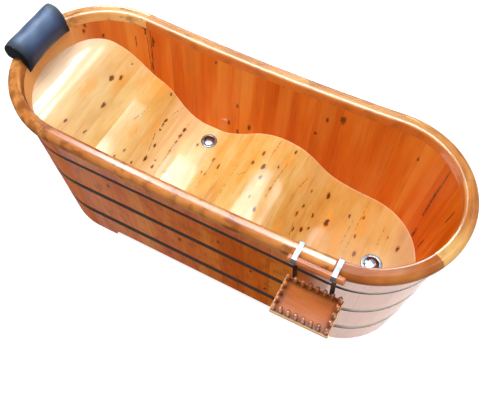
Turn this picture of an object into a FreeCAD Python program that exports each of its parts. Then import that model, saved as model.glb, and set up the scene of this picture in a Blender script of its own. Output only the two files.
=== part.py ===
import FreeCAD, Part
import math
import os
import Sketcher

# A freestanding stave-built bathtub. X runs along the tub with the headrest
# at -X, the hang-on basket is on the -Y side, Z is up and the floor is at zero.

V = FreeCAD.Vector
doc = FreeCAD.newDocument("wooden_bathtub")
sheet = doc.addObject("Spreadsheet::Sheet", "Sizes")

SIZES = [
    ("end_radius", "260", "inner radius of the round ends, at the rim top"),
    ("straight_length", "940", "straight part of the long walls"),
    ("rim_height", "655", "rim top at mid-length"),
    ("flare", "37", "how far the wall leans out from floor to rim"),
    ("sheer_angle", "3.8", "slope of the rim where the ends rise"),
    ("wall", "25", "stave thickness"),
    ("stave_width", "94", "aimed width of a stave"),
    ("rim_width", "42", "rim, inner face to outer face"),
    ("rim_thick", "38", "rim, top to underside"),
    ("rim_inner_round", "9", "rounding of the rim's inner top edge"),
    ("rim_outer_round", "18", "rounding of the rim's outer top edge"),
    ("rim_under_round", "9", "rounding of the rim's outer lower edge"),
    ("hoop_thick", "2", "hoop band thickness"),
    ("hoop_top_drop", "126", "middle of the top hoop below the rim top"),
    ("hoop_top_width", "17", "top hoop band width"),
    ("hoop_middle_drop", "302", "middle of the middle hoop below the rim top"),
    ("hoop_middle_width", "27", "middle hoop band width"),
    ("hoop_bottom_height", "154", "middle of the bottom hoop above the floor"),
    ("hoop_bottom_width", "33", "bottom hoop band width"),
    ("skirt_gap", "35", "height of the arch under each long wall"),
    ("skirt_inset", "80", "end of that arch to the end of the straight wall"),
    ("skirt_round", "24", "rounding of the arch's upper corners"),
    ("base_height", "60", "underside of the base boards"),
    ("base_thick", "24", "base board thickness"),
    ("base_board_width", "68", "aimed width of a base board"),
    ("croze_depth", "8", "depth of the stave groove that holds the base"),
    ("batten_width", "60", "cross batten width"),
    ("batten_setback", "50", "outer battens' middle to the end of the straight wall"),
    ("batten_inset", "30", "batten end to the wall"),
    ("foot_floor", "234", "top of the recliner at the foot end"),
    ("shelf_drop", "80", "top of the recliner at the head end, below the rim top"),
    ("recliner_thick", "20", "recliner thickness"),
    ("strip_width", "58", "aimed width of a recliner strip"),
    ("bearer_thick", "22", "thickness of a recliner bearer"),
    ("bearer_inset", "156", "bearer middle to the long wall's inner face at the rim"),
    ("seat_drain_inset", "90", "seat drain to the far wall's inner face at the rim"),
    ("seat_flange_radius", "31", "seat drain flange"),
    ("seat_throat_radius", "21", "seat drain throat, outside"),
    ("foot_drain_inset", "167", "foot drain to the foot end's inner face at the rim"),
    ("foot_drain_aside", "14", "foot drain from the tub's middle line, towards the near side"),
    ("foot_flange_radius", "38", "foot drain flange"),
    ("foot_throat_radius", "25", "foot drain throat, outside"),
    ("flange_thick", "4", "drain flange thickness"),
    ("throat_wall", "2.5", "drain throat wall"),
    ("throat_length", "42", "drain throat below the flange"),
    ("guide_wall", "3.5", "wall of the plug's guide boss and its web"),
    ("guide_length", "12", "length of the plug's guide boss"),
    ("plug_lip", "4", "how far the plug overlaps the throat's edge"),
    ("plug_thick", "3.5", "plug edge thickness"),
    ("plug_crown", "3", "height of the plug's dome"),
    ("stem_radius", "3", "plug stem"),
    ("gasket_thick", "3", "drain gasket"),
    ("nut_thick", "9", "drain locknut"),
    ("nut_wall", "7", "locknut, bore to flat"),
    ("pipe_wall", "2", "tailpiece wall"),
    ("waste_height", "24", "tailpiece end above the floor"),
    ("waste_length", "30", "narrow end of a tailpiece, for the waste hose"),
    ("seat_waste_radius", "16", "narrow end of the seat tailpiece, outside"),
    ("foot_waste_radius", "20", "narrow end of the foot tailpiece, outside"),
    ("pad_length", "226", "headrest across the tub"),
    ("pad_depth", "86", "headrest, inner lip to outer face"),
    ("pad_height", "70", "headrest crown above the rim"),
    ("pad_lip", "35", "headrest lip below the rim top"),
    ("pad_reach", "37", "headrest outer face beyond the rim's inner edge"),
    ("pad_crown", "5", "swell of the headrest at mid-length"),
    ("pad_lip_rise", "9", "lift of the headrest lip at mid-length"),
    ("basket_setback", "38", "middle of the basket to the end of the straight wall"),
    ("tray_length", "182", "basket base, along the rim"),
    ("tray_depth", "121", "basket base, away from the tub"),
    ("tray_thick", "11", "basket base thickness"),
    ("tray_drop", "148", "basket base top below the rim top"),
    ("tray_round", "4", "rounding of the basket base's corners"),
    ("peg_radius", "6.5", "basket peg"),
    ("peg_height", "34", "basket peg above the base, with its dome"),
    ("peg_inset", "10", "peg middle to the base's edge"),
    ("peg_pitch", "24", "aimed distance between pegs"),
    ("peg_tenon", "5", "peg end let into the base"),
    ("bar_radius", "12", "round bar that the hooks hold"),
    ("bar_rise", "7", "top of the bar above the rim top"),
    ("bar_length", "170", "round bar length"),
    ("bar_round", "5", "rounding of the bar's ends"),
    ("bar_setback", "3", "bar middle from the basket's middle, towards the head"),
    ("hook_thick", "2.4", "strap hook thickness"),
    ("hook_width", "14", "strap hook width"),
    ("hook_spacing", "117", "from one strap hook to the other"),
    ("hook_setback", "8", "middle of the hooks from the basket's middle, towards the head"),
    ("hook_play", "1.5", "play between the strap hook's end and the rim's inner face"),
    ("hook_drop", "17", "strap hook end inside the tub, below the rim top"),
    ("hook_bend", "5", "middle radius of the strap hook's small bends"),
    ("screw_radius", "2", "hook screw shank"),
    ("screw_length", "16", "hook screw shank length"),
    ("screw_head_radius", "4", "hook screw head, sunk into the strap"),
    ("screw_head_thick", "1.8", "hook screw head thickness"),
    ("fit_gap", "0.3", "clearance between pieces that fit"),
    ("overrun", "5", "how far cutting shapes run past what they cut"),
]
for row, (alias, value, note) in enumerate(SIZES, 1):
    sheet.set("A%d" % row, note)
    sheet.set("B%d" % row, value)
    sheet.setAlias("B%d" % row, alias)
doc.recompute()


class Values:
    """The sheet's cells as plain numbers, by alias."""

    def __init__(self):
        for alias, value, note in SIZES:
            setattr(self, alias, float(getattr(sheet, alias)))


k = Values()

# Shape of the wall and of the rim's sweep
half_straight = k.straight_length / 2
lean_share = k.flare / k.rim_height
sheer = math.radians(k.sheer_angle)
sheer_radius = half_straight / math.sin(sheer)
sheer_centre = V(0, 0, k.rim_height + sheer_radius)
end_height = k.rim_height + sheer_radius * (1 - math.cos(sheer))
half_length = half_straight + k.end_radius
top_over = end_height + (k.end_radius + k.rim_width) * math.tan(sheer) + k.overrun
base_top = k.base_height + k.base_thick
recliner_rise = k.rim_height - k.shelf_drop - k.foot_floor
skirt_length = k.straight_length - 2 * k.skirt_inset
bar_middle = k.bar_rise - k.bar_radius
basket_place = half_straight - k.basket_setback
HEAD = -1
FOOT = 1
NEAR = -1
FAR = 1


def inner_radius(z):
    """Inner half-width of the tub at a height."""
    return k.end_radius - lean_share * (k.rim_height - z)


def rim_top(x):
    """Height of the rim top along the straight walls."""
    return sheer_centre.z - math.sqrt(sheer_radius ** 2 - x ** 2)


def end_place(end):
    """Tilted frame of an end's rim: X outwards, Z square to the rim."""
    tilt = FreeCAD.Rotation(V(0, 1, 0), -end * k.sheer_angle)
    turn = FreeCAD.Rotation(V(0, 0, 1), 0 if end == FOOT else 180)
    return FreeCAD.Placement(V(end * half_straight, 0, end_height), tilt.multiply(turn))


def closed_face(points):
    """Flat face inside a closed run of straight lines."""
    return Part.Face(Part.makePolygon(list(points) + [points[0]]))


def rounded_edges(corners, place, closed=True):
    """Edges along (u, v, radius) corners, each corner rounded by its radius."""
    count = len(corners)
    stops = []
    for i in range(count):
        u, v, radius = corners[i]
        here = V(u, v, 0)
        if radius == 0 or (not closed and i in (0, count - 1)):
            stops.append((here, None, here))
            continue
        back = V(corners[i - 1][0], corners[i - 1][1], 0) - here
        ahead = V(corners[(i + 1) % count][0], corners[(i + 1) % count][1], 0) - here
        back.normalize()
        ahead.normalize()
        half = back.getAngle(ahead) / 2
        reach = radius / math.tan(half)
        inwards = back + ahead
        inwards.normalize()
        middle = here + inwards * (radius / math.sin(half) - radius)
        stops.append((here + back * reach, middle, here + ahead * reach))
    edges = []
    for i in range(count):
        start, middle, finish = stops[i]
        if middle is not None:
            edges.append(Part.Arc(place(start), place(middle), place(finish)).toShape())
        if closed or i < count - 1:
            ahead = stops[(i + 1) % count][0]
            if (ahead - finish).Length > k.fit_gap / 4:
                edges.append(Part.LineSegment(place(finish), place(ahead)).toShape())
    return edges


def rounded_face(corners, place):
    """Flat face inside rounded corners."""
    return Part.Face(Part.Wire(rounded_edges(corners, place)))


STRAIGHT_SHARE = 0.0015


def three_point(a, b, c):
    """Arc through three points, or a line where they are in a row."""
    chord = (c - a).Length
    bow = (b - a).cross(c - a).Length / chord
    if bow < STRAIGHT_SHARE * chord:
        return Part.LineSegment(a, c).toShape()
    return Part.Arc(a, b, c).toShape()


def oval(offset, low, high):
    """Solid of the tub's inside, moved out by an offset, between two heights."""
    r_low = inner_radius(low) + offset
    r_high = inner_radius(high) + offset
    across = [V(-half_straight, -r_low, low), V(-half_straight, r_low, low)]
    across += [V(-half_straight, r_high, high), V(-half_straight, -r_high, high)]
    solid = closed_face(across).extrude(V(k.straight_length, 0, 0))
    ends = []
    for end in (HEAD, FOOT):
        centre = V(end * half_straight, 0, 0)
        half = [centre + V(0, 0, low), centre + V(0, -end * r_low, low)]
        half += [centre + V(0, -end * r_high, high), centre + V(0, 0, high)]
        ends.append(closed_face(half).revolve(centre, V(0, 0, 1), 180))
    return solid.fuse(ends).removeSplitter()


def add(label, shape):
    """A document object that holds a finished shape."""
    piece = doc.addObject("Part::Feature", label)
    piece.Label = label
    place = shape.Placement
    piece.Shape = shape
    piece.Placement = place
    return piece


def group(label, solids):
    """Several separate solids under one name."""
    return add(label, Part.makeCompound(solids))


# Staves: one section for all of them, with the base's groove and the hoops' grooves
HOOPS = [
    ("hoop_bottom", k.hoop_bottom_height, k.hoop_bottom_width),
    ("hoop_middle", k.rim_height - k.hoop_middle_drop, k.hoop_middle_width),
    ("hoop_top", k.rim_height - k.hoop_top_drop, k.hoop_top_width),
]


def stave_section():
    croze_low = k.base_height - k.fit_gap
    croze_high = base_top + k.fit_gap
    points = [(inner_radius(0), 0)]
    points.append((inner_radius(croze_low), croze_low))
    points.append((inner_radius(croze_low) + k.croze_depth, croze_low))
    points.append((inner_radius(croze_low) + k.croze_depth, croze_high))
    points.append((inner_radius(croze_high), croze_high))
    points.append((inner_radius(top_over), top_over))
    points.append((inner_radius(top_over) + k.wall, top_over))
    for name, height, width in reversed(HOOPS):
        for z, depth in ((height + width / 2 + k.fit_gap, 0), (height + width / 2 + k.fit_gap, 1),
                         (height - width / 2 - k.fit_gap, 1), (height - width / 2 - k.fit_gap, 0)):
            points.append((inner_radius(z) + k.wall - depth * k.hoop_thick, z))
    points.append((inner_radius(0) + k.wall, 0))
    return points


section = stave_section()
reach_y = k.end_radius + k.wall + k.rim_width
sheer_cut = Part.makeCylinder(sheer_radius + k.rim_thick + k.fit_gap, 2 * reach_y,
                              sheer_centre - V(0, reach_y, 0), V(0, 1, 0))
skirt_low = -k.skirt_round - k.overrun
skirt_corners = [(-skirt_length / 2, skirt_low, 0), (skirt_length / 2, skirt_low, 0)]
skirt_corners += [(skirt_length / 2, k.skirt_gap, k.skirt_round)]
skirt_corners += [(-skirt_length / 2, k.skirt_gap, k.skirt_round)]
skirt_cut = rounded_face(skirt_corners, lambda p: V(p.x, -reach_y, p.y)).extrude(V(0, 2 * reach_y, 0))

side_count = max(1, round(k.straight_length / k.stave_width))
side_step = k.straight_length / side_count
for label, side in (("staves_near_side", NEAR), ("staves_far_side", FAR)):
    staves = []
    for i in range(side_count):
        start = -half_straight + i * side_step
        face = closed_face([V(start, side * rho, z) for rho, z in section])
        stave = face.extrude(V(side_step, 0, 0)).cut(sheer_cut)
        if start < skirt_length / 2 and start + side_step > -skirt_length / 2:
            stave = stave.cut(skirt_cut)
        staves += stave.Solids
    group(label, staves)

end_count = max(3, round(math.pi * (k.end_radius + k.wall / 2) / k.stave_width))
end_step = 180 / end_count
cut_side = 4 * reach_y
for label, end in (("staves_head_end", HEAD), ("staves_foot_end", FOOT)):
    over = Part.makeBox(cut_side, cut_side, cut_side,
                        V(-cut_side / 2, -cut_side / 2, -k.rim_thick - k.fit_gap))
    over.Placement = end_place(end)
    centre = V(end * half_straight, 0, 0)
    staves = []
    for i in range(end_count):
        face = closed_face([centre + V(0, -end * rho, z) for rho, z in section])
        face.rotate(centre, V(0, 0, 1), i * end_step)
        stave = face.revolve(centre, V(0, 0, 1), end_step).cut(over)
        staves += stave.Solids
    group(label, staves)

# Hoops: closed bands let into the staves' grooves
for label, height, width in HOOPS:
    low = height - width / 2
    high = height + width / 2
    inset = k.wall - k.hoop_thick + k.fit_gap
    band = [(inner_radius(low) + inset, low), (inner_radius(low) + inset + k.hoop_thick, low)]
    band += [(inner_radius(high) + inset + k.hoop_thick, high), (inner_radius(high) + inset, high)]
    runs = []
    for side in (NEAR, FAR):
        face = closed_face([V(-half_straight, side * rho, z) for rho, z in band])
        runs.append(face.extrude(V(k.straight_length, 0, 0)))
    for end in (HEAD, FOOT):
        centre = V(end * half_straight, 0, 0)
        face = closed_face([centre + V(0, -end * rho, z) for rho, z in band])
        runs.append(face.revolve(centre, V(0, 0, 1), 180))
    add(label, runs[0].fuse(runs[1:]).removeSplitter())

# Rim: a rail along each long wall and three curved segments round each end
rim_lean = lean_share * k.rim_thick
rim_corners = [(-rim_lean, -k.rim_thick, 0), (k.rim_width, -k.rim_thick, k.rim_under_round)]
rim_corners += [(k.rim_width, 0, k.rim_outer_round), (0, 0, k.rim_inner_round)]
for label, side in (("rim_near_rail", NEAR), ("rim_far_rail", FAR)):
    face = rounded_face(rim_corners,
                        lambda p: V(0, side * (k.end_radius + p.x), k.rim_height + p.y))
    face.rotate(sheer_centre, V(0, 1, 0), k.sheer_angle)
    add(label, face.revolve(sheer_centre, V(0, 1, 0), -2 * k.sheer_angle))
rim_segments = 3
segment_turn = 180 / rim_segments
for label, end in (("rim_head_end", HEAD), ("rim_foot_end", FOOT)):
    segments = []
    for i in range(rim_segments):
        face = rounded_face(rim_corners, lambda p: V(0, -k.end_radius - p.x, p.y))
        face.rotate(V(0, 0, 0), V(0, 0, 1), i * segment_turn)
        segment = face.revolve(V(0, 0, 0), V(0, 0, 1), segment_turn)
        segment.Placement = end_place(end).multiply(segment.Placement)
        segments.append(segment)
    group(label, segments)

# Recliner profile: places along the half-length, heights within the rise
RECLINER_SHARES = [
    (-1.030, 0.997), (-0.959, 1.000), (-0.890, 0.985), (-0.837, 0.933), (-0.799, 0.865),
    (-0.756, 0.774), (-0.710, 0.666), (-0.659, 0.560), (-0.603, 0.487), (-0.564, 0.446),
    (-0.534, 0.393), (-0.496, 0.299), (-0.458, 0.202), (-0.418, 0.129), (-0.377, 0.079),
    (-0.336, 0.056), (-0.274, 0.053), (-0.212, 0.056), (-0.151, 0.106), (-0.096, 0.167),
    (-0.034, 0.255), (0.027, 0.323), (0.089, 0.358), (0.151, 0.364), (0.212, 0.343),
    (0.274, 0.290), (0.336, 0.196), (0.397, 0.109), (0.459, 0.059), (0.521, 0.032),
    (0.589, 0.015), (0.685, 0.003), (0.808, 0.000), (0.932, 0.000), (1.030, 0.000),
]
profile_points = []
for x_share, z_share in RECLINER_SHARES:
    profile_points.append(V(x_share * half_length, 0, k.foot_floor + z_share * recliner_rise))
spline = Part.BSplineCurve()
spline.interpolate(profile_points)
profile = spline.toShape()
strip_count = max(3, round(profile.Length / k.strip_width))
marks = profile.discretize(Number=2 * strip_count + 1)
normals = []
for i, mark in enumerate(marks):
    along = marks[min(i + 1, len(marks) - 1)] - marks[max(i - 1, 0)]
    along.normalize()
    normals.append(V(-along.z, 0, along.x))


def below(depth):
    """Profile points moved square to the surface, to a depth under it."""
    return [mark - normal * depth for mark, normal in zip(marks, normals)]


fine_marks = profile.discretize(Number=8 * len(marks))


def surface_near(place, radius, pick):
    """Highest or lowest point of the recliner within a radius of a place along the tub."""
    return pick(p.z for p in fine_marks if abs(p.x - place) <= radius)


SEAT_DRAIN_SHARE = -0.2589
seat_drain_place = SEAT_DRAIN_SHARE * half_length
foot_drain_place = half_length - k.foot_drain_inset
seat_level = surface_near(seat_drain_place, k.seat_flange_radius, max)
foot_level = surface_near(foot_drain_place, k.foot_flange_radius, max)
DRAINS = [
    ("seat", seat_drain_place, k.end_radius - k.seat_drain_inset, seat_level),
    ("foot", foot_drain_place, -k.foot_drain_aside, foot_level),
]
throat_of = {"seat": k.seat_throat_radius, "foot": k.foot_throat_radius}


def drain_bore(name, x, y, level):
    """Hole for a drain through the recliner or the base."""
    radius = throat_of[name] + k.fit_gap
    return Part.makeCylinder(radius, level + k.overrun, V(x, y, 0))


bores = [drain_bore(*row) for row in DRAINS]
room = oval(-k.fit_gap, base_top, top_over)
under = below(k.recliner_thick)
reach = k.end_radius + k.overrun
SEAT_FROM_SHARE = -0.40
LEGS_FROM_SHARE = 0.00
strips = {"recliner_backrest": [], "recliner_seat": [], "recliner_legs": []}
for i in range(strip_count):
    start, middle, finish = marks[2 * i:2 * i + 3]
    low_start, low_middle, low_finish = under[2 * i:2 * i + 3]
    edges = [three_point(start, middle, finish)]
    edges.append(Part.LineSegment(finish, low_finish).toShape())
    edges.append(three_point(low_finish, low_middle, low_start))
    edges.append(Part.LineSegment(low_start, start).toShape())
    face = Part.Face(Part.Wire(Part.__sortEdges__(edges)))
    face.translate(V(0, -reach, 0))
    strip = face.extrude(V(0, 2 * reach, 0)).common(room)
    for name, x, y, level in DRAINS:
        gap = throat_of[name] + k.overrun
        if start.x - gap < x < finish.x + gap:
            strip = strip.cut(drain_bore(name, x, y, level))
    share = middle.x / half_length
    label = "recliner_backrest"
    if share > SEAT_FROM_SHARE:
        label = "recliner_seat"
    if share > LEGS_FROM_SHARE:
        label = "recliner_legs"
    strips[label] += strip.Solids
for label in strips:
    group(label, strips[label])

# Bearers: upright boards on the base that follow the recliner's underside
seat = below(k.recliner_thick + k.fit_gap)
bearers = []
for side in (NEAR, FAR):
    edges = []
    for i in range(strip_count):
        edges.append(three_point(*seat[2 * i:2 * i + 3]))
    first, last = seat[0], seat[-1]
    low_first, low_last = V(first.x, 0, base_top), V(last.x, 0, base_top)
    edges.append(Part.LineSegment(last, low_last).toShape())
    edges.append(Part.LineSegment(low_last, low_first).toShape())
    edges.append(Part.LineSegment(low_first, first).toShape())
    face = Part.Face(Part.Wire(Part.__sortEdges__(edges)))
    face.translate(V(0, side * (k.end_radius - k.bearer_inset) - k.bearer_thick / 2, 0))
    bearers += face.extrude(V(0, k.bearer_thick, 0)).common(room).Solids
group("recliner_bearers", bearers)

# Base: boards along the tub, held in the staves' groove, with holes for the tailpieces
base_low_radius = inner_radius(k.base_height) + k.croze_depth - k.fit_gap
base_offset = base_low_radius - inner_radius(base_top)
plate = oval(min(base_offset, k.croze_depth - 2 * k.fit_gap), k.base_height, base_top)
for bore in bores:
    plate = plate.cut(bore)
board_count = max(2, round(2 * base_low_radius / k.base_board_width))
board_step = 2 * (base_low_radius + k.overrun) / board_count
boards = []
for i in range(board_count):
    slab = Part.makeBox(2 * (half_length + k.overrun), board_step, k.base_thick,
                        V(-half_length - k.overrun, -board_count * board_step / 2 + i * board_step,
                          k.base_height))
    boards += plate.common(slab).Solids
group("base_boards", boards)


def tie(piece, **bindings):
    """Bind an object's properties to the sheet."""
    for prop, expression in bindings.items():
        piece.setExpression(prop.replace("__", "."), expression)


# Battens that carry the base off the floor
batten_length = "2 * (Sizes.end_radius - Sizes.flare - Sizes.batten_inset)"
outer_place = "(Sizes.straight_length / 2 - Sizes.batten_setback)"
for label, place in (("batten_head", "-" + outer_place), ("batten_centre", "0"),
                     ("batten_foot", outer_place)):
    batten = doc.addObject("Part::Box", label)
    batten.Label = label
    tie(batten, Length="Sizes.batten_width", Width=batten_length, Height="Sizes.base_height",
        Placement__Base__x=place + " - Sizes.batten_width / 2",
        Placement__Base__y="-(" + batten_length + ") / 2")


def revolved_body(label, corners, base):
    """Body turned about its own Z axis from (radius, height) corners, given as expressions."""
    body = doc.addObject("PartDesign::Body", label)
    body.Label = label
    plane = [f for f in body.Origin.OriginFeatures if f.Role == "XZ_Plane"][0]
    sketch = body.newObject("Sketcher::SketchObject", label + "_section")
    sketch.AttachmentSupport = [(plane, "")]
    sketch.MapMode = "FlatFace"
    names = {alias: getattr(k, alias) for alias, value, note in SIZES}
    points = []
    for radius, height in corners:
        points.append(V(sum_of(radius, names), sum_of(height, names), 0))
    count = len(points)
    for i in range(count):
        sketch.addGeometry(Part.LineSegment(points[i], points[(i + 1) % count]), False)
    for i in range(count):
        sketch.addConstraint(Sketcher.Constraint("Coincident", i, 2, (i + 1) % count, 1))
    for i, (radius, height) in enumerate(corners):
        for kind, terms, value in (("DistanceX", radius, points[i].x), ("DistanceY", height, points[i].y)):
            if not terms:
                axis = -2 if kind == "DistanceX" else -1
                sketch.addConstraint(Sketcher.Constraint("PointOnObject", i, 1, axis))
                continue
            index = sketch.addConstraint(Sketcher.Constraint(kind, -1, 1, i, 1, value))
            sketch.setExpression("Constraints[%d]" % index, written(terms))
    turn = body.newObject("PartDesign::Revolution", label + "_turn")
    turn.Profile = sketch
    turn.ReferenceAxis = (sketch, ["V_Axis"])
    turn.Angle = 360
    body.Placement = FreeCAD.Placement(base, FreeCAD.Rotation())
    return body


def sum_of(terms, names):
    """Value of a signed list of aliases."""
    return sum(sign * names[alias] for sign, alias in terms)


def written(terms):
    """The same list as an expression on the sheet."""
    return " + ".join("(%g) * Sizes.%s" % (sign, alias) for sign, alias in terms)


# Drains: flanged body with a guide, gasket, locknut, tailpiece, and a plug that rises
for name, x, y, level in DRAINS:
    throat = throat_of[name]
    flange = {"seat": k.seat_flange_radius, "foot": k.foot_flange_radius}[name]
    throat_alias = name + "_throat_radius"
    bore = throat - k.throat_wall
    seat_z = level + k.fit_gap
    bottom = -k.throat_length
    edge = k.flange_thick / 2
    rim_z = k.flange_thick
    ring = [(bore, bottom, 0), (throat, bottom, 0), (throat, 0, 0), (flange, 0, 0),
            (flange, rim_z, edge * 1.5), (bore + k.plug_lip + k.fit_gap, rim_z, edge / 2),
            (bore + k.plug_lip + k.fit_gap, rim_z / 2, 0), (bore, rim_z / 2, 0)]
    shell = rounded_face(ring, lambda p: V(p.x, 0, p.y)).revolve(V(0, 0, 0), V(0, 0, 1), 360)
    guide_bore = k.stem_radius + k.fit_gap
    boss = Part.makeCylinder(guide_bore + k.guide_wall, k.guide_length, V(0, 0, bottom))
    web = Part.makeBox(2 * bore + k.throat_wall, k.guide_wall, k.guide_length,
                       V(-bore - k.throat_wall / 2, -k.guide_wall / 2, bottom))
    cross = web.copy()
    cross.rotate(V(0, 0, 0), V(0, 0, 1), 90)
    hole = Part.makeCylinder(guide_bore, k.guide_length + 2 * k.overrun, V(0, 0, bottom - k.overrun))
    body = shell.fuse([boss, web, cross]).cut(hole).removeSplitter()
    body.translate(V(x, y, seat_z))
    add(name + "_drain_body", body.Solids[0])

    low_level = surface_near(x, throat + k.nut_wall, min)
    under_z = low_level - k.recliner_thick - k.gasket_thick - 2 * k.fit_gap
    nut_radius = "(Sizes.%s + Sizes.nut_wall)" % throat_alias
    outer = doc.addObject("Part::Cylinder", name + "_gasket_outside")
    tie(outer, Radius=nut_radius, Height="Sizes.gasket_thick")
    inner = doc.addObject("Part::Cylinder", name + "_gasket_bore")
    tie(inner, Radius="Sizes.%s + Sizes.fit_gap" % throat_alias,
        Height="Sizes.gasket_thick + 2 * Sizes.overrun", Placement__Base__z="-Sizes.overrun")
    gasket = doc.addObject("Part::Cut", name + "_drain_gasket")
    gasket.Label = name + "_drain_gasket"
    gasket.Base = outer
    gasket.Tool = inner
    gasket.Placement.Base = V(x, y, under_z)

    hexagon = doc.addObject("Part::Prism", name + "_nut_outside")
    hexagon.Polygon = 6
    tie(hexagon, Circumradius=nut_radius + " / cos(30 deg)", Height="Sizes.nut_thick")
    thread = doc.addObject("Part::Cylinder", name + "_nut_bore")
    tie(thread, Radius="Sizes.%s + Sizes.fit_gap" % throat_alias,
        Height="Sizes.nut_thick + 2 * Sizes.overrun", Placement__Base__z="-Sizes.overrun")
    nut = doc.addObject("Part::Cut", name + "_drain_nut")
    nut.Label = name + "_drain_nut"
    nut.Base = hexagon
    nut.Tool = thread
    nut.Placement.Base = V(x, y, under_z - k.nut_thick)

    spigot = {"seat": k.seat_waste_radius, "foot": k.foot_waste_radius}[name]
    neck = k.waste_height + k.waste_length
    tail_top = seat_z + bottom
    pipe = [(throat - k.pipe_wall, tail_top), (throat, tail_top), (throat, neck), (spigot, neck)]
    pipe += [(spigot, k.waste_height), (spigot - k.pipe_wall, k.waste_height)]
    pipe += [(spigot - k.pipe_wall, neck + k.pipe_wall), (throat - k.pipe_wall, neck + k.pipe_wall)]
    tail = closed_face([V(r, 0, z) for r, z in pipe]).revolve(V(0, 0, 0), V(0, 0, 1), 360)
    tail.translate(V(x, y, 0))
    add(name + "_drain_tail", tail)

    # Heights count from the stem's lower end, which hangs just past the guide
    rise = [(1, "throat_length"), (0.5, "flange_thick"), (1, "fit_gap")]
    cap = [(1, throat_alias), (-1, "throat_wall"), (1, "plug_lip")]
    corners = [([], []), ([(1, "stem_radius")], []), ([(1, "stem_radius")], rise), (cap, rise)]
    corners += [(cap, rise + [(0.5, "plug_thick")])]
    corners += [(cap + [(-1, "plug_crown")], rise + [(1, "plug_thick")])]
    corners += [(cap + [(-4, "plug_crown")], rise + [(1, "plug_thick"), (0.8, "plug_crown")])]
    corners += [([], rise + [(1, "plug_thick"), (1, "plug_crown")])]
    revolved_body(name + "_drain_plug", corners, V(x, y, seat_z + bottom))

# Headrest: a padded saddle on the head-end rim, drawn in at mid-length. Shares of the
# pad's depth, inwards from its outer face, and of its height, or of its lip below the rim
PAD_STEPS_SHARES = [(-0.5, 0.0, 0.965), (-0.47, 0.25, 1.0), (-0.25, 0.75, 1.0), (0.0, 1.0, 1.0),
                    (0.25, 0.75, 1.0), (0.47, 0.25, 1.0), (0.5, 0.0, 0.965)]
FOOT_OUT_SHARE = 0.15
BULGE_SHARE = 0.46
TOP_OUT_SHARE = 0.20
TOP_IN_SHARE = 0.59
TOP_IN_DROP_SHARE = 0.98
SHOULDER_SHARE = 0.86
SHOULDER_DROP_SHARE = 0.69
CHEST_SHARE = 0.985
CHEST_DROP_SHARE = 0.08
LIP_THICK_SHARE = 0.10
ARCH_IN_SHARE = 0.79
ARCH_MID_SHARE = 0.66
ARCH_RISE_SHARE = 0.36
FOOT_IN_SHARE = 0.36
FOOT_LIFT_SHARE = 0.17


def pad_section(across, swell, size_share):
    """Closed outline of the headrest at a place across the tub."""
    depth = k.pad_depth
    high = k.pad_height * size_share + k.pad_crown * (swell - 1)
    lip = -k.pad_lip * size_share + k.pad_lip_rise * swell
    face = k.end_radius + k.pad_reach - k.fit_gap * (1 - size_share)

    def at(share, n):
        return V(face - share * depth, across, n)

    foot_out = at(FOOT_OUT_SHARE, k.fit_gap)
    top_out = at(TOP_OUT_SHARE, high * TOP_IN_DROP_SHARE)
    top_in = at(TOP_IN_SHARE, high * TOP_IN_DROP_SHARE)
    chest = at(CHEST_SHARE, high * CHEST_DROP_SHARE)
    lip_in = at(CHEST_SHARE, lip)
    lip_out = at(CHEST_SHARE - LIP_THICK_SHARE, lip)
    arch_in = at(ARCH_IN_SHARE, high * CHEST_DROP_SHARE)
    arch_out = at(FOOT_IN_SHARE + LIP_THICK_SHARE / 2, high * FOOT_LIFT_SHARE)
    foot_in = at(FOOT_IN_SHARE, k.fit_gap)
    edges = [Part.Arc(foot_out, at(0, high * BULGE_SHARE), top_out).toShape()]
    crown = at((TOP_OUT_SHARE + TOP_IN_SHARE) / 2, high * (2 - TOP_IN_DROP_SHARE))
    edges.append(Part.Arc(top_out, crown, top_in).toShape())
    edges.append(Part.Arc(top_in, at(SHOULDER_SHARE, high * SHOULDER_DROP_SHARE), chest).toShape())
    edges.append(Part.LineSegment(chest, lip_in).toShape())
    edges.append(Part.LineSegment(lip_in, lip_out).toShape())
    edges.append(Part.LineSegment(lip_out, arch_in).toShape())
    edges.append(Part.Arc(arch_in, at(ARCH_MID_SHARE, high * ARCH_RISE_SHARE), arch_out).toShape())
    edges.append(Part.LineSegment(arch_out, foot_in).toShape())
    edges.append(Part.LineSegment(foot_in, foot_out).toShape())
    return Part.Wire(edges)


sections = []
for across_share, swell_share, size_share in PAD_STEPS_SHARES:
    sections.append(pad_section(across_share * k.pad_length, swell_share, size_share))
pad = Part.makeLoft(sections, True, False)
pad.Placement = end_place(HEAD).multiply(pad.Placement)
add("headrest_pad", pad)

# Basket: its own frame on the near rim, X along the rim, Y towards the tub, Z square to the rim
basket_slope = math.degrees(math.asin(basket_place / sheer_radius))
basket_at = FreeCAD.Placement(V(basket_place, -k.end_radius, rim_top(basket_place)),
                              FreeCAD.Rotation(V(0, 1, 0), -basket_slope))
leg_out = k.rim_width + 2 * k.fit_gap + k.hook_thick
tray_back = leg_out
tray_top = -k.tray_drop
bar_out = k.rim_width + 2 * k.fit_gap + k.bar_radius
hook_gap = 2 * k.fit_gap


def set_down(piece):
    """Move a basket piece from its own frame to the rim."""
    piece.Placement = basket_at.multiply(piece.Placement)
    return piece


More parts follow.
